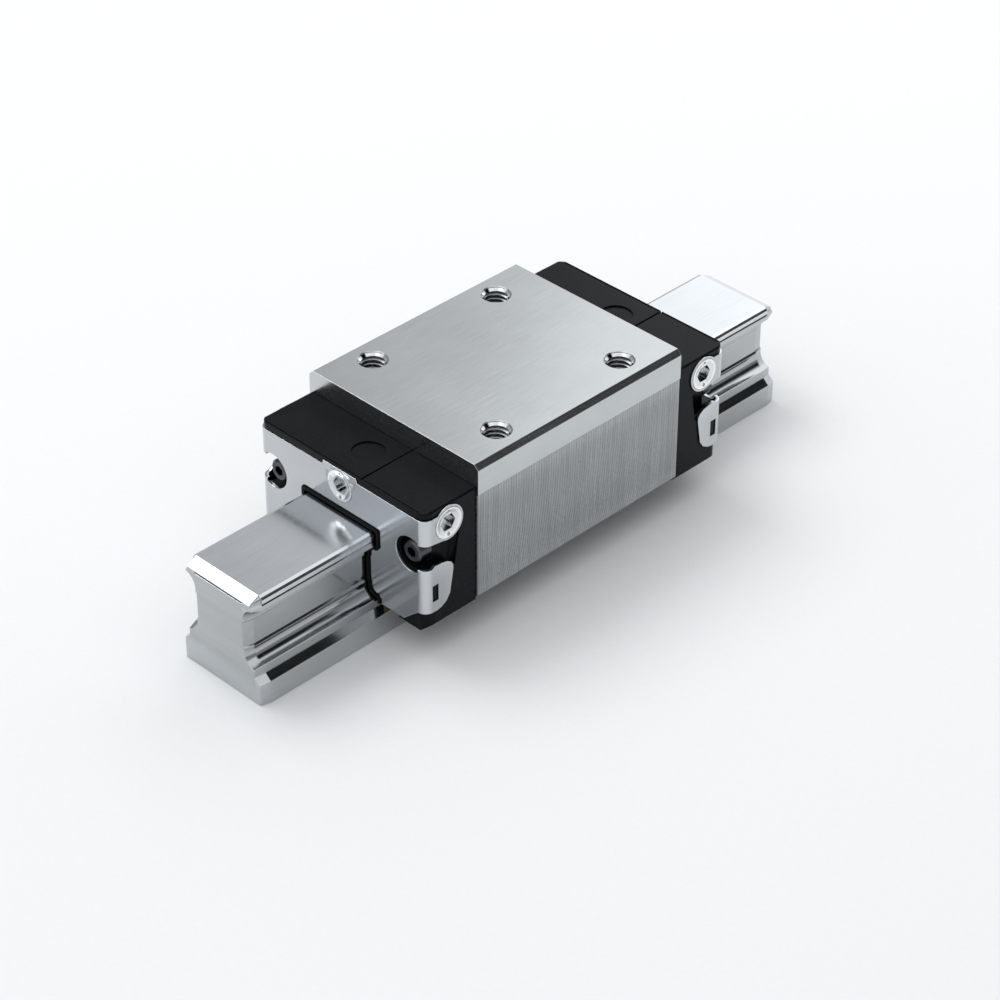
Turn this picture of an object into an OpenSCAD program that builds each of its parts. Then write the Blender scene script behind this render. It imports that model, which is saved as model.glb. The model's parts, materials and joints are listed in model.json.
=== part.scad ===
// Linear guide: a ball runner carriage on a short length of profiled rail.
// +X runs along the rail, +Y across it, +Z up; the origin is the centre of the rail's base.
// "Front" is the -X end of the carriage, "rear" the +X end, "left" the +Y side, "right" the -Y side.

/* [Rail] */
// Length of the rail
rail_len = 150; // [140:1:400]
// Width of the rail's foot
rail_w = 23; // [22.8:0.1:23.2]
// Height of the rail with its cover strip
rail_h = 24.45; // [24.2:0.05:24.6]
// Thickness of the cover strip
strip_t = 0.3; // [0.2:0.05:0.4]
// Distance between the rail's fixing holes
rail_pitch = 60; // [50:1:70]
// Diameter of the rail's fixing holes
rail_hole_d = 7; // [6:0.5:7]
// Diameter of the rail's counterbores
rail_cbore_d = 11; // [10:0.5:11]
// Depth of the chamfer round the rail's ends
rail_end_c = 0.6; // [0.4:0.1:0.8]
// Length of the chamfer round the rail's ends
rail_end_l = 2.4; // [1.6:0.1:2.6]

/* [Carriage] */
// Length of the steel body
body_len = 57.8; // [56:0.2:60]
// Width of the steel body
body_w = 48; // [48:0.2:49]
// Height of the mounting face above the rail's base
top_z = 40; // [39:0.2:42]
// Underside of the steel body above the rail's base
body_z0 = 8.5; // [8.3:0.1:8.7]
// Length of the carriage over its end plates
carriage_len = 86.2; // [86:0.2:90]
// Distance between the mounting holes, along and across the rail
bolt_pitch = 35; // [34:0.5:36]
// Diameter of the mounting holes, over the thread
bolt_d = 6; // [5:0.5:6]
// Depth of the mounting holes
bolt_depth = 9; // [8:0.5:10]

/* [Balls] */
// Diameter of a ball
ball_d = 4.762; // [4.6:0.001:4.762]
// Balls in one loop
ball_count = 27; // [24:1:27]
// Ball rows from the rail's centre plane
row_y = 10; // [9.9:0.05:10.1]
// Height of the lower ball rows
row_low_z = 11; // [10.9:0.05:11.1]
// Height of the upper ball rows
row_high_z = 18.8; // [18.7:0.05:18.9]
// Return bores from the rail's centre plane
return_y = 18.6; // [18.5:0.05:18.7]
// Height of the lower return bores
return_low_z = 12.2; // [12.1:0.05:12.3]
// Height of the upper return bores
return_high_z = 19.3; // [19.2:0.05:19.4]

/* [End caps] */
// Width of an end cap
cap_w = 46.8; // [46.4:0.1:47]
// Top of an end cap above the rail's base
cap_top = 35; // [34.5:0.1:35.5]
// Underside of an end cap above the rail's base
cap_z0 = 6.2; // [6:0.1:6.4]
// Radius of an end cap's outer upright corners
cap_r = 2.2; // [1.8:0.1:2.6]
// Thickness of the metal end plate
plate_t = 0.8; // [0.6:0.1:1]
// Height of the lubrication ports
port_z = 30.6; // [30.2:0.1:31]
// Radius of a port plug's dished flange
plug_r = 3.4; // [3.2:0.1:3.5]
// Cap screws from the rail's centre plane
screw_y = 19.1; // [19:0.1:19.3]
// Height of the cap screws
screw_z = 24.1; // [24:0.1:24.4]

/* [Hidden] */
$fn = 64;
SIDES = ["left", "right"];
ENDS = ["front", "rear"];
ROWS = ["upper", "lower"];

eps = 0.01;
gap = 0.05;                            // between two pieces that lie face to face
track_r = 2.55;                        // ball tracks, a little over the ball's radius
channel_r = 2.65;                      // ball channels in the caps
steel_x = body_len / 2;                // end faces of the steel body
plate_x = carriage_len / 2;            // outer face of an end plate
cap_x = plate_x - plate_t - gap;       // outer face of an end cap
cap_y = cap_w / 2;
ear_y = cap_y + 0.35;                  // outer face of the plate's ears
ear_in = ear_y - plate_t - gap;        // floor of the seats for the ears
bend_r = 2.1;                          // outer radius of the plate's bends
head_y = 9.6;                          // half width of the rail's head under the strip
head_z = rail_h - strip_t;             // top of the rail itself
tongue_y = head_y - 0.7;               // half width of the strip's bent ends
neck_y = 7.15;                         // half width of the rail's neck
neck_low = 12;
neck_high = 17.8;
shoulder_y = 10.05;                    // half width at the lips beside the tracks
ramp_x = 2.45;                         // length of the strip's bent ends
ramp_z = 1.2;                          // drop of the strip's bent ends
tube_r = 3.05;                         // outer radius of a return tube
port_x = 36.6;                         // side ports
screw_r = 1.25;
screw_head_r = 2.4;
head_x = 39.05;                        // underside of the cap screws' heads
pocket_x = 36.8;                       // floor of the cap's front pocket
pocket_y = 15.2;
pocket_top = 27.6;
tab_y = 5;                             // half width of the plate's middle tab
lip_z = 33.55;                         // underside of the cap's lip over the plate
tab_top = 34.45;                       // top of the plate's middle tab
lip_x = plate_x - 0.1;                 // outer edge of that lip
chamfer = 1.1;                         // along the body's upper edges
seal_proud = 0.3;                      // the seal's lip stands out of the plate
recess_y = 19.7;                       // recess round a cap screw
recess_z = 24.35;
recess_r = 3.75;

function row_z(row) = row == "upper" ? row_high_z : row_low_z;
function return_z(row) = row == "upper" ? return_high_z : return_low_z;
function loop_run(row) = norm([return_y - row_y, return_z(row) - row_z(row)]);
function loop_tilt(row) = atan2(return_z(row) - row_z(row), return_y - row_y);

// ---- helpers ----

// A section drawn in the Y-Z plane, swept along X from x0 to x1.
module along_x(x0, x1) translate([x0, 0, 0]) rotate([90, 0, 90]) linear_extrude(x1 - x0) children();

// A section drawn in the X-Z plane, swept along Y from y0 to y1.
module along_y(y0, y1) translate([0, y1, 0]) rotate([90, 0, 0]) linear_extrude(y1 - y0) children();

module rod_x(x0, x1, y, z, r) translate([x0, y, z]) rotate([0, 90, 0]) cylinder(h = x1 - x0, r = r);

module rod_y(y0, y1, x, z, r) translate([x, y1, z]) rotate([90, 0, 0]) cylinder(h = y1 - y0, r = r);

module box(lo, hi) translate(lo) cube(hi - lo);

module on_side(side) mirror([0, side == "right" ? 1 : 0, 0]) children();

module at_end(end) mirror([end == "front" ? 1 : 0, 0, 0]) children();

module both_sides() for (side = SIDES) on_side(side) children();

module both_ends() for (end = ENDS) at_end(end) children();

// Hexagonal socket along Z, closed at the bottom.
module hex_socket(across, depth) cylinder(h = depth, d = across / cos(30), $fn = 6);

// ---- rail ----

// The rail's half outline grown by d, from the foot upwards, before the ball tracks are cut.
function rail_half(d) = [
    [rail_w / 2 + d, 0], [rail_w / 2 + d, 5.1 + d / 2], [shoulder_y + d, 6.4 + d / 2],
    [shoulder_y + d, row_low_z - 2.4], [neck_y + d, neck_low], [neck_y + d, neck_high],
    [shoulder_y + d, row_high_z + 2.4]
];

// The head under the cover strip, with rounded upper edges.
function head_half(d) = [[shoulder_y + d, 22.45 + d / 5], [head_y + d, 22.8 + d / 5],
    [head_y + d, head_z - 0.5 + d], [head_y - 0.2 + d, head_z - 0.22 + d], [tongue_y + d, head_z + d]];

function mirrored(half) = concat(half, [for (i = [len(half) - 1:-1:0]) [-half[i].x, half[i].y]]);

module row_circles(r) both_rows() circle(r);

module both_rows()
    for (row = ROWS, s = [-1, 1]) translate([s * row_y, row_z(row)]) children();

// The opening that a piece of the carriage leaves round the rail, at distance d.
module rail_opening(d) difference() {
    polygon(mirrored(concat([[rail_w / 2 + d, -1]], rail_half(d),
        [[shoulder_y + d, rail_h - 0.4 + d], [shoulder_y - 0.4 + d, rail_h + d]])));
    row_circles(track_r - d);
}

// The rail's outline grown by d, without its ball tracks; d is negative at the chamfered ends.
function rail_outline(d) = mirrored(concat(rail_half(d), head_half(d)));

// The rail without its ball tracks: its outline at four stations, smaller at the two ends.
module rail_blank() {
    x1 = rail_len / 2;
    stations = [[-x1, -rail_end_c], [rail_end_l - x1, 0], [x1 - rail_end_l, 0], [x1, -rail_end_c]];
    n = len(rail_outline(0));
    last = 3 * n;
    // each end face is a stack of level bands, so that every face is convex
    polyhedron(
        points = [for (s = stations) for (p = rail_outline(s[1])) [s[0], p.x, p.y]],
        faces = concat(
            [for (i = [0:n / 2 - 2]) [i, i + 1, n - 2 - i, n - 1 - i]],
            [for (i = [0:n / 2 - 2]) [last + n - 1 - i, last + n - 2 - i, last + i + 1, last + i]],
            [for (k = [0:n:last - n]) for (i = [0:n - 1]) let (j = (i + 1) % n)
                [k + i, k + n + i, k + n + j, k + j]]));
}

// The ball tracks, widening into the end chamfers.
module rail_tracks() for (row = ROWS, s = [-1, 1]) {
    rod_x(-rail_len / 2 - 1, rail_len / 2 + 1, s * row_y, row_z(row), track_r);
    both_ends() translate([rail_len / 2 - rail_end_l, s * row_y, row_z(row)]) rotate([0, 90, 0])
        cylinder(h = 2 * rail_end_l, r1 = track_r, r2 = track_r + 2 * rail_end_c);
}

module rail() color([0.72, 0.74, 0.76]) difference() {
    rail_blank();
    rail_tracks();
    for (x = [-rail_pitch, 0, rail_pitch]) translate([x, 0, -eps]) {
        cylinder(h = rail_h + 1, d = rail_hole_d);
        translate([0, 0, head_z - 9 + eps]) cylinder(h = 10, d = rail_cbore_d);
    }
    // the slopes under the strip's bent ends, with a shallow relief in their middle
    both_ends() along_y(-rail_w, rail_w)
        polygon([[rail_len / 2 - ramp_x, head_z], [rail_len / 2 + 1, head_z - ramp_z * (1 + 1 / ramp_x)],
            [rail_len / 2 + 1, head_z + 1], [rail_len / 2 - ramp_x, head_z + 1]]);
    both_ends() box([rail_len / 2 - 1.4, -6.8, head_z - ramp_z - 0.4], [rail_len / 2 + 1, 6.8, head_z + 1]);
}

module strip_section() difference() {
    lip_y = shoulder_y - 0.05;
    polygon(mirrored([[lip_y, 22.9], [lip_y, rail_h - 0.7], [lip_y - 0.35, rail_h - 0.25],
        [lip_y - 1, rail_h]]));
    polygon(mirrored(concat([[head_y, 22]], [for (i = [2:4]) head_half(0)[i]])));
}

module cover_strip() color([0.75, 0.77, 0.79]) {
    flat_x = rail_len / 2 - ramp_x;
    along_x(-flat_x, flat_x) strip_section();
    end_x = rail_len / 2 - gap;
    drop = ramp_z * (end_x - flat_x) / ramp_x;
    both_ends() along_y(-tongue_y, tongue_y)
        polygon([[flat_x, head_z], [end_x, head_z - drop], [end_x, rail_h - drop], [flat_x, rail_h]]);
}

// ---- steel body ----

// The space inside the steel body for the rail, the tracks and the balls.
function cavity_half() = [
    [12.3, body_z0 - 1], [12.3, body_z0], [13, 9.7], [15.05, 9.7], [15.05, 20.1],
    [13.4, 20.1], [13.4, 23], [9.8, 25.7]
];

module body_section() difference() {
    y = body_w / 2;
    relief = 0.3;
    polygon(mirrored([[11, body_z0], [y - relief - 0.2, body_z0], [y - relief, body_z0 + 0.2],
        [y - relief, 33.0], [y, 33.2], [y, top_z - chamfer], [y - chamfer, top_z]]));
    polygon(mirrored(cavity_half()));
}

module slider_body() color([0.75, 0.77, 0.78]) difference() {
    along_x(-steel_x, steel_x) body_section();
    for (x = [-1, 1], y = [-1, 1])
        translate([x * bolt_pitch / 2, y * bolt_pitch / 2, top_z - bolt_depth]) {
            cylinder(h = bolt_depth + 1, d = bolt_d);
            translate([0, 0, bolt_depth - 0.25]) cylinder(h = 0.251, d1 = bolt_d, d2 = bolt_d + 0.5);
        }
    both_sides() for (row = ROWS)
        rod_x(-steel_x - 1, steel_x + 1, return_y, return_z(row), tube_r + gap);
    both_sides() both_ends() rod_x(steel_x - 6.5, steel_x + 1, screw_y, screw_z, screw_r + gap);
}

// ---- ball guidance ----

module track_insert(side) on_side(side) color([0.62, 0.64, 0.66])
    along_x(-steel_x + 0.1, steel_x - 0.1) difference() {
        mid = (row_low_z + row_high_z) / 2;
        polygon([[8.6, mid - 0.6], [8.6, mid + 0.6], [12.2, 20], [15, 20], [15, 9.8], [12.2, 9.8]]);
        row_circles(track_r);
    }

// Distance s along a ball loop, measured from the middle of the loaded row.
function loop_point(row, s) =
    let (r = loop_run(row) / 2, half = steel_x, turn = PI * r, lap = 4 * half + 2 * turn,
         t = s - lap * floor(s / lap))
    t < half ? [t, 0] :
    t < half + turn ? let (a = (t - half) / r * 180 / PI) [half + r * sin(a), r * (1 - cos(a))] :
    t < 3 * half + turn ? [2 * half + turn - t, 2 * r] :
    t < 3 * half + 2 * turn ? let (a = (t - 3 * half - turn) / r * 180 / PI)
        [-half - r * sin(a), r * (1 + cos(a))] :
    [t - lap, 0];

module ball_loop(row, side) on_side(side) color([0.8, 0.81, 0.83]) {
    lap = 4 * steel_x + 2 * PI * loop_run(row) / 2;
    for (i = [0:ball_count - 1]) let (p = loop_point(row, i * lap / ball_count))
        translate([p.x, row_y + p.y * cos(loop_tilt(row)), row_z(row) + p.y * sin(loop_tilt(row))])
            sphere(d = ball_d);
}

module return_tube(row, side) on_side(side) color([0.85, 0.85, 0.82]) difference() {
    rod_x(-steel_x + 0.1, steel_x - 0.1, return_y, return_z(row), tube_r);
    rod_x(-steel_x - 1, steel_x + 1, return_y, return_z(row), channel_r);
}

module ball_keeper_upper(side) on_side(side) color([0.2, 0.22, 0.22])
    along_x(-steel_x + 0.1, steel_x - 0.1)
        polygon([[10.6, 21.75], [12.2, 20.4], [13.3, 20.4], [13.3, 22.8], [10.6, 24.9]]);

module ball_keeper_lower(side) on_side(side) color([0.2, 0.22, 0.22])
    along_x(-steel_x + 0.1, steel_x - 0.1)
        polygon([[10.6, 6.9], [12.1, 6.9], [12.1, 8.45], [12.7, 9.5], [10.6, 8.1]]);

module side_seal(side) on_side(side) color([0.08, 0.08, 0.09])
    along_x(-steel_x + 0.1, steel_x - 0.1)
        polygon([[12.25, 6.2], [12.8, 6.2], [13.6, 7.3], [21, 7.3], [21, 8.45], [12.25, 8.45]]);

// ---- end caps ----

// Places a loop's turn: X along the rail from the steel's end face, Y along the loop's run.
module at_turn(row) translate([steel_x, row_y, row_z(row)]) rotate([loop_tilt(row), 0, 0])
    translate([0, loop_run(row) / 2, 0]) children();

// Half ring that the balls roll through as they turn.
module turn_channel(row) rotate([0, 0, -90]) rotate_extrude(angle = 180)
    translate([loop_run(row) / 2, 0]) circle(channel_r);

// Half disc that fills the inside of a turn.
module turn_disc(r, half_t) intersection() {
    translate([0, 0, -half_t]) cylinder(h = 2 * half_t, r = r);
    translate([0, -10, -10]) cube(20);
}

module turn_guides(end) at_end(end) both_sides() color([0.85, 0.85, 0.82]) for (row = ROWS)
    at_turn(row) difference() {
        translate([gap, 0, 0]) turn_disc(loop_run(row) / 2 - 0.1, 2.4);
        turn_channel(row);
    }

// Outline of an end cap seen along the rail.
module cap_section() polygon(mirrored([[cap_y - 2.1, cap_z0], [cap_y, cap_z0 + 1.7],
    [cap_y, cap_top - 0.3], [cap_y - 0.3, cap_top]]));

// The cap seen from above, with its outer edge at x1 and round corners there.
module cap_plan(x1) {
    translate([steel_x + gap, -cap_y]) square([x1 - cap_r - steel_x - gap, 2 * cap_y]);
    translate([steel_x + gap, -cap_y + cap_r]) square([x1 - steel_x - gap, 2 * (cap_y - cap_r)]);
    for (s = [-1, 1]) translate([x1 - cap_r, s * (cap_y - cap_r)]) circle(cap_r);
}

// Room for the plate's bend round an upright corner.
module bend_seat() difference() {
    box([plate_x - bend_r - gap, ear_y - bend_r - gap, bend_z[0]], [plate_x + 1, ear_y + 1, bend_z[1]]);
    translate([plate_x - bend_r, ear_y - bend_r, 0]) cylinder(h = cap_top, r = bend_r - plate_t - gap);
}

// Outline of the plate's lower ear, seen from the side.
lower_ear = [[plate_x - bend_r, 21.6], [40.2, 22.1], [38.5, 22], [37, 21.6], [36, 21], [35.45, 20.2],
    [35.35, 19.2], [36.3, 13.7], [37.3, 12.2], [38.7, 11.4], [39.9, 11.15], [plate_x - bend_r, 11.2]];
ear_window = [39.4, 13.7, plate_x - bend_r, 17.5];
bend_z = [11, 33.6];                   // lower and upper end of the bends' seats
ear_z = 27.4;                          // underside of the upper ear at its bend
ear_r = 3.95;                          // outer radius of the upper ear round its port plug

module end_cap_solid() difference() {
    intersection() {
        along_x(steel_x + gap, lip_x) cap_section();
        union() {
            linear_extrude(cap_top + 1) cap_plan(cap_x);
            translate([0, 0, lip_z]) linear_extrude(cap_top + 1 - lip_z) cap_plan(lip_x);
        }
    }
    box([cap_x, -tab_y - 0.1, lip_z - 1], [plate_x + 1, tab_y + 0.1, tab_top + gap]);
    box([lip_x - 0.55, -cap_y + 1.5, cap_top - 0.2], [lip_x - 0.25, cap_y - 1.5, cap_top + 1]);
}

// Everything cut out of one side of an end cap.
module end_cap_side_cuts() {
    for (row = ROWS) at_turn(row) {
        turn_disc(loop_run(row) / 2, 2.5);
        turn_channel(row);
    }
    // recess that leaves the cap screw open to the corner
    rod_x(head_x - gap, plate_x + 1, recess_y, recess_z, recess_r);
    box([head_x - gap, recess_y, recess_z - recess_r], [plate_x + 1, cap_y + 1, recess_z + recess_r]);
    along_y(cap_y - 2, cap_y + 1) polygon([[33.5, 27], [34.7, 19.8], [43, 19.8], [43, 27]]);
    rod_x(steel_x - 1, plate_x, screw_y, screw_z, screw_r + gap);
    // seats for the plate's ears and bends
    along_y(ear_in, cap_y + 1) {
        lower_ear_outline(1.03);
        upper_ear_outline(0.15);
    }
    bend_seat();
    // side port, and the duct that feeds the turns
    rod_y(15, cap_y + 1, port_x, port_z, 2.5 + gap);
    translate([31.5, 14.3, 17]) cylinder(h = port_z - 17, r = 0.8);
    rod_x(31.5, port_x, 14.3, port_z, 0.8);
}

module end_cap(end) at_end(end) color([0.12, 0.13, 0.14]) {
    difference() {
        end_cap_solid();
        along_x(steel_x - 1, plate_x + 1) rail_opening(0.6);
        // pocket for the lubricating pad and the seal, open to the outside
        box([pocket_x, -pocket_y - gap, cap_z0 - 1], [plate_x + 1, pocket_y + gap, pocket_top + gap]);
        both_sides() end_cap_side_cuts();
        rod_y(-16, 16, port_x, port_z, 1.25);
        rod_x(port_x, plate_x + 1, 0, port_z, 2.5 + gap);
        // blanked upper port and the fine groove beside it
        translate([35.3, 0, cap_top - 0.35]) cylinder(h = 1, r = 3.5);
        box([steel_x - 1, -6.05, cap_top - 0.3], [plate_x + 1, -5.7, cap_top + 1]);
    }
    // catches that snap into the ears' windows
    both_sides() box([ear_window[0] + 0.1, ear_in - 1, ear_window[1] + 0.1],
        [ear_window[2] - 0.1, ear_y - 0.3, ear_window[3] - 0.1]);
}

// Ear outlines in X and Z for the +X end, grown by d.
module upper_ear_outline(d) {
    translate([port_x, port_z]) circle(ear_r + d);
    polygon([[port_x, port_z - ear_r - d], [38.4, 27 - d], [plate_x - bend_r, ear_z - d],
        [plate_x - bend_r, 33.4 + d], [port_x, 33.4 + d]]);
}

module lower_ear_outline(grow) translate([39, 16.8]) scale(grow) translate([-39, -16.8]) polygon(lower_ear);

module lube_pad(end) at_end(end) color([0.86, 0.8, 0.6])
    along_x(pocket_x + gap, plate_x - 2.2) difference() {
        translate([-pocket_y, 8]) square([2 * pocket_y, pocket_top - 8]);
        rail_opening(0.7);
    }

module end_seal(end) at_end(end) color([0.05, 0.05, 0.06]) {
    along_x(plate_x - 2.1, cap_x) difference() {
        translate([-pocket_y, 7]) square([2 * pocket_y, pocket_top - 7]);
        rail_opening(0.3);
    }
    along_x(cap_x - gap, plate_x + seal_proud) difference() {
        intersection() {
            rail_opening(1);
            translate([-pocket_y, 7.6]) square([2 * pocket_y, pocket_top]);
        }
        rail_opening(0.3);
    }
}

// Flat outline of the end plate between its bends.
module plate_outline() difference() {
    half = ear_y - bend_r;
    polygon(mirrored([[17.6, 7.7], [18.6, 8.6], [half, 11.2], [half, 33.4], [tab_y, 33.5],
        [tab_y - 0.3, tab_top]]));
    rail_opening(1.05);
    translate([0, port_z]) circle(plug_r + gap);
    for (s = [-1, 1]) translate([s * recess_y, recess_z]) circle(recess_r + 0.2);
}

// Quarter bend between the plate's face and an ear, over a height range.
module plate_bend(z0, z1) intersection() {
    translate([plate_x - bend_r, ear_y - bend_r, z0]) difference() {
        cylinder(h = z1 - z0, r = bend_r);
        translate([0, 0, -1]) cylinder(h = z1 - z0 + 2, r = bend_r - plate_t);
    }
    translate([plate_x - bend_r, ear_y - bend_r, z0]) cube([10, 10, z1 - z0]);
}

module end_plate(end) at_end(end) color([0.76, 0.77, 0.79]) {
    along_x(plate_x - plate_t, plate_x) plate_outline();
    both_sides() {
        plate_bend(ear_z, 33.4);
        plate_bend(11.2, 21.6);
        along_y(ear_y - plate_t, ear_y) difference() {
            upper_ear_outline(0);
            translate([port_x, port_z]) circle(plug_r + gap);
        }
        along_y(ear_y - plate_t, ear_y) difference() {
            lower_ear_outline(1);
            translate([ear_window[0], ear_window[1]])
                square([ear_window[2] - ear_window[0], ear_window[3] - ear_window[1]]);
        }
    }
}

// ---- fasteners and plugs ----

module cap_screws(end) at_end(end) both_sides() color([0.1, 0.1, 0.11])
    translate([0, screw_y, screw_z]) rotate([0, 90, 0]) difference() {
        union() {
            translate([0, 0, steel_x - 6]) cylinder(h = head_x - steel_x + 6, r = screw_r);
            translate([0, 0, head_x]) cylinder(h = 2.7, r = screw_head_r);
            translate([0, 0, head_x + 2.7]) cylinder(h = 0.4, r1 = screw_head_r, r2 = screw_head_r - 0.4);
        }
        translate([0, 0, head_x + 1.6]) hex_socket(2, 3);
    }

// A port plug along Z, its outer face at z = 0, with a hexagonal socket and two small spanner holes.
module port_plug() color([0.85, 0.86, 0.88]) difference() {
    union() {
        translate([0, 0, -0.75]) cylinder(h = 0.75, r = plug_r);
        translate([0, 0, -6]) cylinder(h = 6, r = 2.5);
    }
    translate([0, 0, -0.25]) cylinder(h = 0.26, r1 = 2.2, r2 = plug_r - 0.35);
    translate([0, 0, -3]) hex_socket(3.4, 4);
    for (s = [-1, 1]) translate([0, 2.65 * s, -0.6]) cylinder(h = 1, r = 0.38);
}

module face_port_plug(end) at_end(end) translate([plate_x + 0.02, 0, port_z]) rotate([0, 90, 0])
    rotate([0, 0, 90]) port_plug();

module side_port_plug(end, side) at_end(end) on_side(side)
    translate([port_x, ear_y + 0.02, port_z]) rotate([-90, 0, 0]) port_plug();

rail();
cover_strip();
slider_body();
track_insert("left");  // track_insert_left
track_insert("right");  // track_insert_right
ball_loop("upper", "left");  // balls_upper_left
ball_loop("lower", "left");  // balls_lower_left
ball_loop("upper", "right");  // balls_upper_right
ball_loop("lower", "right");  // balls_lower_right
return_tube("upper", "left");  // return_tube_upper_left
return_tube("lower", "left");  // return_tube_lower_left
return_tube("upper", "right");  // return_tube_upper_right
return_tube("lower", "right");  // return_tube_lower_right
ball_keeper_upper("left");  // ball_keeper_upper_left
ball_keeper_lower("left");  // ball_keeper_lower_left
ball_keeper_upper("right");  // ball_keeper_upper_right
ball_keeper_lower("right");  // ball_keeper_lower_right
side_seal("left");  // side_seal_left
side_seal("right");  // side_seal_right
turn_guides("front");  // turn_guides_front
turn_guides("rear");  // turn_guides_rear
end_cap("front");  // end_cap_front
end_cap("rear");  // end_cap_rear
lube_pad("front");  // lube_pad_front
lube_pad("rear");  // lube_pad_rear
end_seal("front");  // end_seal_front
end_seal("rear");  // end_seal_rear
end_plate("front");  // end_plate_front
end_plate("rear");  // end_plate_rear
cap_screws("front");  // cap_screws_front
cap_screws("rear");  // cap_screws_rear
face_port_plug("front");  // face_port_plug_front
face_port_plug("rear");  // face_port_plug_rear
side_port_plug("front", "left");  // side_port_plug_front_left
side_port_plug("front", "right");  // side_port_plug_front_right
side_port_plug("rear", "left");  // side_port_plug_rear_left
side_port_plug("rear", "right");  // side_port_plug_rear_right
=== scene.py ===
"""Looks for a linear guide: a ball runner carriage on a short length of profiled rail."""

import json
import math

import bmesh
import bpy
from mathutils import Matrix, Vector


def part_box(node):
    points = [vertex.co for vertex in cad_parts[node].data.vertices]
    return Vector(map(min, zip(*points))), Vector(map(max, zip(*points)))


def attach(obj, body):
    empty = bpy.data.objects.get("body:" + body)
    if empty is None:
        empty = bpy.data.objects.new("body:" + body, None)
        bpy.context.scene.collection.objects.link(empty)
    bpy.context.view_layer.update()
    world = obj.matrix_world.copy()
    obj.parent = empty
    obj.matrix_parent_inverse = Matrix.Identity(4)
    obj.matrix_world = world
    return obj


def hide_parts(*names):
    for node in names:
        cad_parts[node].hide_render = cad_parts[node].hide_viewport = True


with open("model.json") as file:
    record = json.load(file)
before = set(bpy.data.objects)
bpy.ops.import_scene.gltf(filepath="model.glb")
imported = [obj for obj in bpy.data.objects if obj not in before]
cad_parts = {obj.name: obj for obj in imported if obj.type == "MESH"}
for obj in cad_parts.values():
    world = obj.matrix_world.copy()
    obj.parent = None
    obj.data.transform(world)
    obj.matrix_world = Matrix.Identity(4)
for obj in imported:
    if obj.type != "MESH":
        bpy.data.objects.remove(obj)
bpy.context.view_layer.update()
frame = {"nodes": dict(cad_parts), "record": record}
nodes = frame["nodes"]
MM = 0.001
ENDS = {"front": -1, "rear": 1}
SIDES = {"left": 1, "right": -1}


# ---- camera, floor and light ----

AZIMUTH, ELEVATION = math.radians(-44.85), math.radians(35.85)
DISTANCE = 647.4 * MM
AIM = Vector((0, 0, 20 * MM))
SLIDE_RIGHT, SLIDE_UP = -2.82 * MM, -13.34 * MM
LENS, SENSOR = 114.02, 36
SHIFT = (0.0179, 0.0069)


def add_camera():
    """A long lens seen from above the front right corner, as the object is usually shown."""
    back = Vector((math.sin(AZIMUTH) * math.cos(ELEVATION), -math.cos(AZIMUTH) * math.cos(ELEVATION),
                   math.sin(ELEVATION)))
    right = Vector((0, 0, 1)).cross(back).normalized()
    up = back.cross(right)
    data = bpy.data.cameras.new("camera")
    data.lens = LENS
    data.sensor_width = SENSOR
    data.shift_x, data.shift_y = SHIFT
    camera = bpy.data.objects.new("camera", data)
    place = Matrix((right, up, back)).transposed().to_4x4()
    place.translation = AIM + back * DISTANCE + right * SLIDE_RIGHT + up * SLIDE_UP
    camera.matrix_world = place
    bpy.context.scene.collection.objects.link(camera)
    bpy.context.scene.camera = camera


def add_area_light(name, place, towards, width, power):
    """A square lamp at a place, facing a point."""
    data = bpy.data.lights.new(name, "AREA")
    data.shape = "SQUARE"
    data.size = width
    data.energy = power
    light = bpy.data.objects.new(name, data)
    light.location = place
    light.rotation_euler = (Vector(towards) - Vector(place)).to_track_quat("-Z", "Y").to_euler()
    bpy.context.scene.collection.objects.link(light)


class Nodes:
    """Short ways to add and join shader nodes."""

    def __init__(self, tree):
        self.tree = tree

    def add(self, kind, inputs=None, **settings):
        node = self.tree.nodes.new(kind)
        for key, value in settings.items():
            setattr(node, key, value)
        for key, value in (inputs or {}).items():
            self.put(node.inputs[key], value)
        return node

    def put(self, socket, value):
        if isinstance(value, bpy.types.NodeSocket):
            self.tree.links.new(value, socket)
        else:
            socket.default_value = value

    def maths(self, operation, a, b=0.0):
        return self.add("ShaderNodeMath", {0: a, 1: b}, operation=operation).outputs[0]

    def ramp(self, value, low, high, out_low=0.0, out_high=1.0, smooth=True):
        return self.add("ShaderNodeMapRange", {
            "Value": value, "From Min": low, "From Max": high, "To Min": out_low, "To Max": out_high,
        }, interpolation_type="SMOOTHSTEP" if smooth else "LINEAR").outputs["Result"]

    def mix(self, factor, a, b, blend="MIX"):
        node = self.add("ShaderNodeMix", data_type="RGBA", blend_type=blend)
        self.put(node.inputs[0], factor)
        self.put(node.inputs[6], a)
        self.put(node.inputs[7], b)
        return node.outputs[2]

    def noise(self, place, scale, detail=3.0, roughness=0.5):
        return self.add("ShaderNodeTexNoise", {"Vector": place, "Scale": scale, "Detail": detail,
                                               "Roughness": roughness}).outputs["Fac"]


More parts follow.
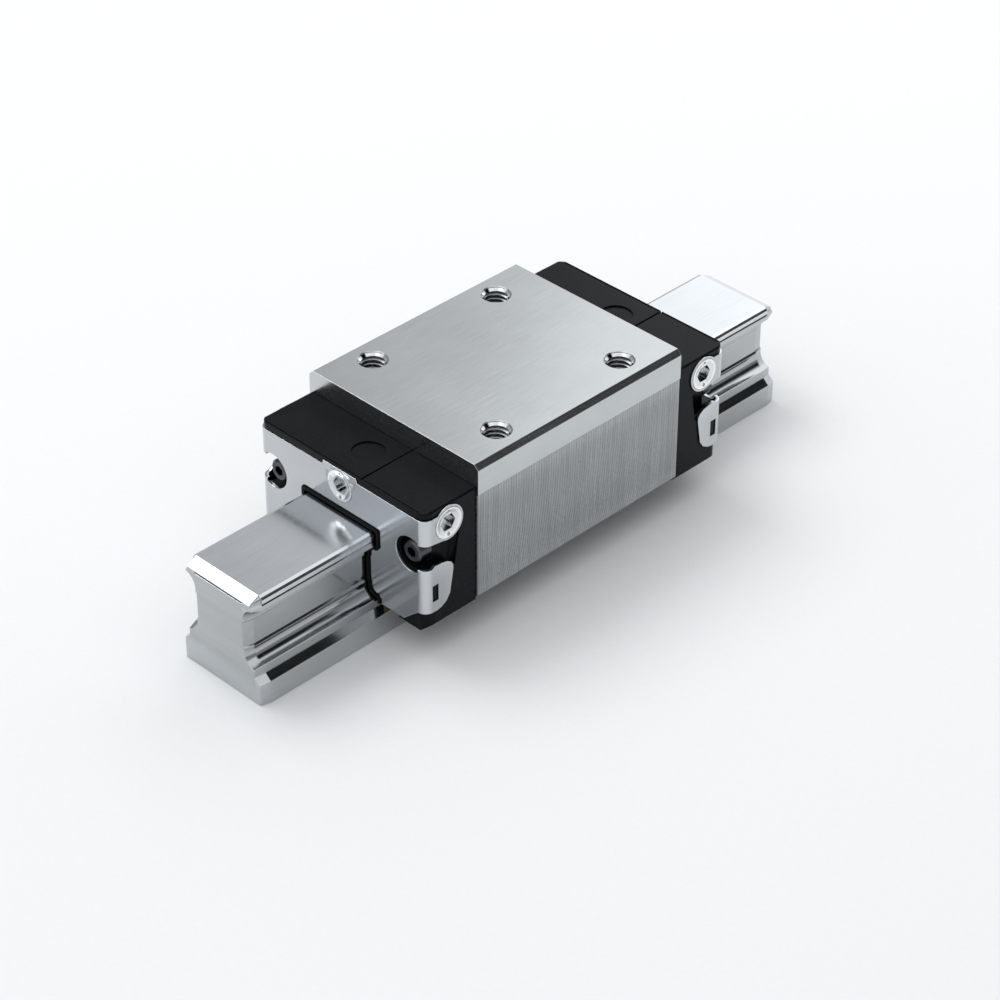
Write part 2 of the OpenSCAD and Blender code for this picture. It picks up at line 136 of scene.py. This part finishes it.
def light_world():
    """A soft studio: bright overhead and round the object, with one dark card towards the near right."""
    world = bpy.data.worlds.new("studio")
    bpy.context.scene.world = world
    world.use_nodes = True
    tree = world.node_tree
    tree.nodes.clear()
    n = Nodes(tree)
    direction = n.add("ShaderNodeTexCoord").outputs["Generated"]
    ambient = 0.36

    def along(x, y, z):
        """How closely the ray points that way, as a cosine."""
        length = math.sqrt(x * x + y * y + z * z)
        node = n.add("ShaderNodeVectorMath", {0: direction, 1: (x / length, y / length, z / length)},
                     operation="DOT_PRODUCT")
        return node.outputs["Value"]

    overhead = n.ramp(along(0, 0, 1), 0.68, 0.80, 0, 0.7)
    far = n.ramp(along(1, 1, 0), 0.05, 0.5)
    far_right = n.maths("MULTIPLY", n.ramp(along(1, -1, 0), -0.16, 0.20, 0.10, 0.80), far)
    left = n.ramp(along(-0.80, 0.20, 0.57), 0.80, 0.93, 0, 0.75)
    near = n.ramp(along(-0.82, -0.41, 0.40), 0.88, 0.96, 0, 0.75)
    near_left = n.maths("MAXIMUM", left, near)
    near_right = n.ramp(along(0.10, -0.63, 0.77), 0.90, 0.97, 0, 0.8)
    card = n.ramp(along(0.572, -0.586, 0.575), 0.93, 0.985)
    level = n.maths("MAXIMUM", n.maths("MAXIMUM", overhead, far_right), near_right)
    level = n.maths("ADD", level, n.maths("ADD", near_left, ambient))
    level = n.maths("MULTIPLY", level, n.maths("SUBTRACT", 1.0, card))
    background = n.add("ShaderNodeBackground", {"Color": (0.97, 0.99, 1, 1), "Strength": level})
    output = n.add("ShaderNodeOutputWorld")
    tree.links.new(background.outputs[0], output.inputs[0])


# ---- materials ----

def new_material(name):
    material = bpy.data.materials.new(name)
    material.use_nodes = True
    tree = material.node_tree
    n = Nodes(tree)
    shader = tree.nodes["Principled BSDF"]
    place = n.add("ShaderNodeTexCoord").outputs["Object"]
    return material, n, shader, place


def stretched(n, place, scale):
    return n.add("ShaderNodeMapping", {"Vector": place, "Scale": scale}).outputs["Vector"]


def face_grain(n, grain):
    """The grain's scale, turned on faces that look along X, so that the marks stay lines there too."""
    normal = n.add("ShaderNodeSeparateXYZ", {0: n.add("ShaderNodeNewGeometry").outputs["True Normal"]})
    facing = n.ramp(n.maths("ABSOLUTE", normal.outputs["X"]), 0.5, 0.9)
    across = n.maths("ADD", grain[1], n.maths("MULTIPLY", facing, grain[0] - grain[1]))
    return n.add("ShaderNodeCombineXYZ", {0: grain[0], 1: across, 2: grain[2]}).outputs["Vector"]


def bump(n, shader, height, distance):
    node = n.add("ShaderNodeBump", {"Height": height, "Distance": distance, "Strength": 1.0})
    n.tree.links.new(node.outputs["Normal"], shader.inputs["Normal"])


def steel(name, colour, roughness, grain, depth=7e-7, streak=0.10, edge=0.2, sheen_lines=0.025):
    """Bare steel with machining marks. grain is how finely they change along X, Y and Z, per metre."""
    material, n, shader, place = new_material(name)
    lines = n.noise(n.add("ShaderNodeVectorMath", {0: place, 1: face_grain(n, grain)},
                          operation="MULTIPLY").outputs["Vector"], 1.0, 4, 0.65)
    clouds = n.noise(place, 45.0, 3)
    specks = n.noise(place, 2600.0, 1)
    shade = n.ramp(lines, 0.30, 0.70, 1 - streak, 1 + streak, smooth=False)
    shade = n.maths("MULTIPLY", shade, n.ramp(clouds, 0.3, 0.7, 0.96, 1.03))
    worn = n.ramp(n.add("ShaderNodeNewGeometry").outputs["Pointiness"], 0.51, 0.56, 0, edge)
    shade = n.maths("ADD", shade, worn)
    tone = n.mix(1.0, (*colour, 1), n.add("ShaderNodeCombineColor", {0: shade, 1: shade, 2: shade}).outputs[0],
                 "MULTIPLY")
    n.put(shader.inputs["Base Color"], tone)
    shader.inputs["Metallic"].default_value = 1.0
    rough = n.ramp(lines, 0.3, 0.7, roughness - sheen_lines, roughness + sheen_lines, smooth=False)
    rough = n.maths("ADD", rough, n.ramp(clouds, 0.45, 0.75, 0, 0.02))
    n.put(shader.inputs["Roughness"], n.maths("ADD", rough, n.ramp(specks, 0.6, 0.75, 0, 0.04)))
    bump(n, shader, lines, depth)
    return material


def moulded(name, colour, roughness, texture=900.0, depth=6e-6, scuff=0.5, specular=0.5):
    """Moulded plastic or rubber with a fine surface texture, faint flow marks and scuffs along its edges."""
    material, n, shader, place = new_material(name)
    fine = n.noise(place, texture, 2)
    flow = n.noise(stretched(n, place, (60, 160, 60)), 1.0, 3)
    scratches = n.noise(stretched(n, place, (2400, 220, 900)), 1.0, 2)
    worn = n.ramp(n.add("ShaderNodeNewGeometry").outputs["Pointiness"], 0.52, 0.60, 0, scuff)
    worn = n.maths("MULTIPLY", worn, n.ramp(flow, 0.35, 0.6))
    light = tuple(min(1, c * 1.9 + 0.02) for c in colour)
    dark = tuple(c * 0.82 for c in colour)
    body = n.mix(n.ramp(flow, 0.3, 0.7), (*dark, 1), (*colour, 1))
    n.put(shader.inputs["Base Color"], n.mix(worn, body, (*light, 1)))
    rough = n.ramp(flow, 0.3, 0.7, roughness - 0.05, roughness + 0.05)
    rough = n.maths("ADD", rough, n.ramp(scratches, 0.62, 0.72, 0, 0.12))
    n.put(shader.inputs["Roughness"], n.maths("ADD", rough, n.ramp(fine, 0.4, 0.7, 0, 0.06)))
    shader.inputs["Specular IOR Level"].default_value = specular
    bump(n, shader, fine, depth)
    return material


def foam(name, colour):
    """Open foam: a cellular surface, with painted shade in its pores."""
    material, n, shader, place = new_material(name)
    cells = n.add("ShaderNodeTexVoronoi", {"Vector": place, "Scale": 1900.0}).outputs["Distance"]
    stain = n.noise(place, 120.0, 3)
    # The pores get a much darker colour: painted shade where the cells sink in.
    pore_shade = n.ramp(cells, 0.15, 0.55)
    dark = tuple(c * 0.45 for c in colour)
    soaked = tuple(c * 0.75 for c in colour)
    body = n.mix(n.ramp(stain, 0.35, 0.65), (*colour, 1), (*soaked, 1))
    n.put(shader.inputs["Base Color"], n.mix(pore_shade, (*dark, 1), body))
    n.put(shader.inputs["Roughness"], n.ramp(stain, 0.3, 0.7, 0.75, 0.95))
    bump(n, shader, cells, 1e-4)
    return material


MATERIALS = {
    "rail_steel": steel("rail_steel", (0.44, 0.455, 0.47), 0.15, (60, 5200, 5200), streak=0.07),
    "strip_steel": steel("strip_steel", (0.56, 0.58, 0.605), 0.17, (90, 4200, 4200), depth=4e-7, streak=0.04),
    "body_steel": steel("body_steel", (0.56, 0.58, 0.585), 0.22, (140, 3400, 3400), depth=3e-7, streak=0.04,
                        edge=0),
    "plate_steel": steel("plate_steel", (0.48, 0.495, 0.515), 0.19, (2600, 120, 2600), streak=0.06),
    "insert_steel": steel("insert_steel", (0.50, 0.51, 0.53), 0.22, (80, 4000, 4000)),
    "ball_steel": steel("ball_steel", (0.78, 0.79, 0.81), 0.06, (900, 900, 900), streak=0.03, sheen_lines=0.02),
    "plug_chrome": steel("plug_chrome", (0.74, 0.75, 0.76), 0.10, (1500, 1500, 1500), streak=0.05,
                         sheen_lines=0.03),
    "cap_plastic": moulded("cap_plastic", (0.0025, 0.0036, 0.0045), 0.27, specular=0.10, scuff=0.04),
    "keeper_plastic": moulded("keeper_plastic", (0.03, 0.03, 0.032), 0.5),
    "natural_plastic": moulded("natural_plastic", (0.62, 0.59, 0.50), 0.45, scuff=0.2),
    "seal_rubber": moulded("seal_rubber", (0.003, 0.003, 0.0035), 0.6, texture=1500.0, scuff=0.1,
                           specular=0.12),
    "pad_foam": foam("pad_foam", (0.62, 0.53, 0.30)),
    "screw_black": steel("screw_black", (0.035, 0.036, 0.040), 0.30, (1400, 1400, 1400), streak=0.2, edge=1.5),
}
# The threads' steel is the body's steel in a much darker tone: painted shade for the inside of the holes.
THREAD_IN_PAINTED_SHADE = steel("threaded_steel_painted_shade", (0.24, 0.25, 0.26), 0.24, (3000, 3000, 300), streak=0.1)
TURNED = steel("turned_steel", (0.58, 0.59, 0.60), 0.09, (1500, 1500, 3000), streak=0.05)
MILLED = steel("milled_steel", (0.32, 0.33, 0.34), 0.24, (1400, 1400, 40), streak=0.16)
SLOT_OF = {s["node"]: s["material_slot"] for s in frame["record"]["subparts"]}


def paint(obj, slot):
    obj.data.materials.clear()
    obj.data.materials.append(MATERIALS[slot])


# ---- pieces ----

BOLT = 17.5 * MM
BOLTS = [(x * BOLT, y * BOLT) for x in ENDS.values() for y in SIDES.values()]
HOLE_REACH = 3.5 * MM
BEVEL_STEPS = 2
BEVEL_FROM = math.radians(28)


def body_of(node):
    return "rail" if node in ("rail", "cover_strip") else "carriage"


def mesh_piece(name, bm, body, slot, sharp_angle=35, finish=None):
    """A new piece from a bmesh, on a body, in its slot's material or in a finish of its own."""
    mesh = bpy.data.meshes.new(name)
    bm.to_mesh(mesh)
    bm.free()
    piece = bpy.data.objects.new(name, mesh)
    bpy.context.scene.collection.objects.link(piece)
    mesh.shade_smooth()
    mesh.set_sharp_from_angle(angle=math.radians(sharp_angle))
    flat = piece.modifiers.new("flat faces", "WEIGHTED_NORMAL")
    flat.keep_sharp = True
    flat.weight = 100
    mesh.materials.append(finish or MATERIALS[slot])
    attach(piece, body)
    return piece


def rounded(node, width, sharp_angle):
    """A node's own shape with its sharp edges rounded over, but for the mounting holes, to stand for it."""
    bm = bmesh.new()
    bm.from_mesh(nodes[node].data)
    bmesh.ops.remove_doubles(bm, verts=bm.verts, dist=2e-6)
    bmesh.ops.dissolve_limit(bm, angle_limit=math.radians(0.5), verts=bm.verts, edges=bm.edges)
    bmesh.ops.connect_verts_concave(bm, faces=bm.faces)
    edges = [e for e in bm.edges if len(e.link_faces) == 2 and e.is_convex
             and e.calc_face_angle(0) > BEVEL_FROM
             and not any(math.hypot(e.verts[0].co.x - x, e.verts[0].co.y - y) < HOLE_REACH for x, y in BOLTS)]
    bmesh.ops.bevel(bm, geom=edges, offset=width, segments=BEVEL_STEPS, profile=0.5, affect="EDGES",
                    clamp_overlap=False)
    low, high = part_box(node)
    for v in bm.verts:
        v.co = [min(max(c, a), b) for c, a, b in zip(v.co, low, high)]
    piece = mesh_piece(node + "_finished", bm, body_of(node), SLOT_OF[node], sharp_angle)
    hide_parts(node)


def lead_in(name, centre, top, wide=3.02 * MM, narrow=2.50 * MM):
    """The turned countersink that leads into a threaded hole."""
    steps = 64
    bottom = top - (wide - narrow)
    profile = ((wide, top), (narrow, bottom), (wide, bottom))
    bm = bmesh.new()
    rings = []
    for i in range(steps):
        turn = 2 * math.pi * i / steps
        rings.append([bm.verts.new((centre.x + r * math.cos(turn), centre.y + r * math.sin(turn), z))
                      for r, z in profile])
    for a, b in zip(rings, rings[1:] + rings[:1]):
        for k in range(3):
            bm.faces.new((a[k], b[k], b[(k + 1) % 3], a[(k + 1) % 3]))
    bmesh.ops.recalc_face_normals(bm, faces=bm.faces)
    mesh_piece(name, bm, "carriage", "body_steel", sharp_angle=20, finish=TURNED)


def thread(name, centre, top, bottom, pitch=1.0 * MM, major=3.02 * MM, minor=2.48 * MM):
    """The ridge of an internal thread: a flat-topped V wound down a hole."""
    steps = 48
    fade_steps = 16
    profile = [(major, -0.46 * pitch), (minor, -0.09 * pitch), (minor, 0.09 * pitch), (major, 0.46 * pitch)]
    turns = (top - bottom) / pitch
    count = int(turns * steps)
    bm = bmesh.new()
    rings = []
    for i in range(count + 1):
        turn = 2 * math.pi * i / steps
        z = bottom + pitch * i / steps
        fade = min(1, i / fade_steps, (count - i) / fade_steps)
        rings.append([bm.verts.new((centre.x + (major + (r - major) * fade) * math.cos(turn),
                                    centre.y + (major + (r - major) * fade) * math.sin(turn),
                                    z + dz * max(fade, 0.05))) for r, dz in profile])
    for a, b in zip(rings, rings[1:]):
        for k in range(4):
            bm.faces.new((a[k], b[k], b[(k + 1) % 4], a[(k + 1) % 4]))
    bm.faces.new(rings[0])
    bm.faces.new(rings[-1][::-1])
    bmesh.ops.recalc_face_normals(bm, faces=bm.faces)
    # Its finish is the darker steel, painted shade for the inside of the hole.
    mesh_piece(name, bm, "carriage", "body_steel", sharp_angle=20, finish=THREAD_IN_PAINTED_SHADE)


def milled_side(name, side, x_end, z_low, z_high, face, crest):
    """The relieved side of the body: narrow scallops in shallow arcs, as a face cutter leaves them."""
    pitch = 0.7 * MM
    per_scallop = 5
    rows = 8
    lean, lean_fade = 3.0 * MM, 8.0 * MM
    columns = round(2 * x_end / pitch) * per_scallop
    bm = bmesh.new()

    def line(z, y=None):
        down = ((z_high - z) / (z_high - z_low)) ** 2
        made = []
        for i in range(columns + 1):
            x = x_end * (2 * i / columns - 1)
            x -= lean * down * min(1, (x_end - abs(x)) / lean_fade)
            cut = (crest - face) * math.sin(math.pi * (i % per_scallop) / per_scallop) ** 0.8
            made.append(bm.verts.new((x, side * (crest - cut if y is None else y), z)))
        return made

    back = face - 0.1 * MM
    lines = [line(z_low, back)]
    lines += [line(z_low + (z_high - z_low) * k / rows) for k in range(rows + 1)]
    lines += [line(z_high, back)]
    for a, b in zip(lines, lines[1:] + lines[:1]):
        for i in range(columns):
            bm.faces.new((a[i], a[i + 1], b[i + 1], b[i]))
    for i in (0, -1):
        bm.faces.new([a[i] for a in lines])
    bmesh.ops.recalc_face_normals(bm, faces=bm.faces)
    mesh_piece(name, bm, "carriage", "body_steel", sharp_angle=30, finish=MILLED)


for node, obj in nodes.items():
    paint(obj, SLOT_OF[node])

rounded("slider_body", 0.04 * MM, sharp_angle=10)
rounded("rail", 0.08 * MM, sharp_angle=10)
for end in ENDS:
    rounded("end_cap_" + end, 0.11 * MM, sharp_angle=40)
    rounded("end_plate_" + end, 0.10 * MM, sharp_angle=40)

low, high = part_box("slider_body")
for end, x in ENDS.items():
    for side, y in SIDES.items():
        hole = Vector((x * BOLT, y * BOLT, 0))
        lead_in(f"lead_in_{end}_{side}", hole, top=high.z - 0.23 * MM)
        thread(f"thread_{end}_{side}", hole, top=high.z - 1.0 * MM, bottom=high.z - 8.9 * MM)
for side, sign in SIDES.items():
    milled_side("milled_side_" + side, sign, x_end=high.x - 0.05 * MM, z_low=low.z + 0.25 * MM,
                z_high=low.z + 24.45 * MM, face=high.y - 0.29 * MM, crest=high.y - 0.17 * MM)

# The floor lies just under the rail, so that the two don't share a plane.
floor_mesh = bpy.data.meshes.new("floor")
reach = 3.0
floor_mesh.from_pydata([(-reach, -reach, 0), (reach, -reach, 0), (reach, reach, 0), (-reach, reach, 0)], [],
                       [(0, 1, 2, 3)])
floor = bpy.data.objects.new("floor", floor_mesh)
floor.location.z = -0.05 * MM
bpy.context.scene.collection.objects.link(floor)
floor_material, floor_nodes, floor_shader, floor_place = new_material("floor")
speckle = floor_nodes.noise(floor_place, 900.0, 2)
floor_nodes.put(floor_shader.inputs["Base Color"],
                floor_nodes.mix(speckle, (0.77, 0.775, 0.78, 1), (0.80, 0.805, 0.81, 1)))
floor_shader.inputs["Roughness"].default_value = 0.9
floor_mesh.materials.append(floor_material)

add_camera()
light_world()
add_area_light("key", (-0.1, 0.7, 1.1), (0, 0, 0), 0.7, 6.0)
add_area_light("far_right", (0.31, 0.09, 0.245), (0, 0, 0.04), 0.30, 0.12)
bpy.context.scene.view_settings.view_transform = "Standard"
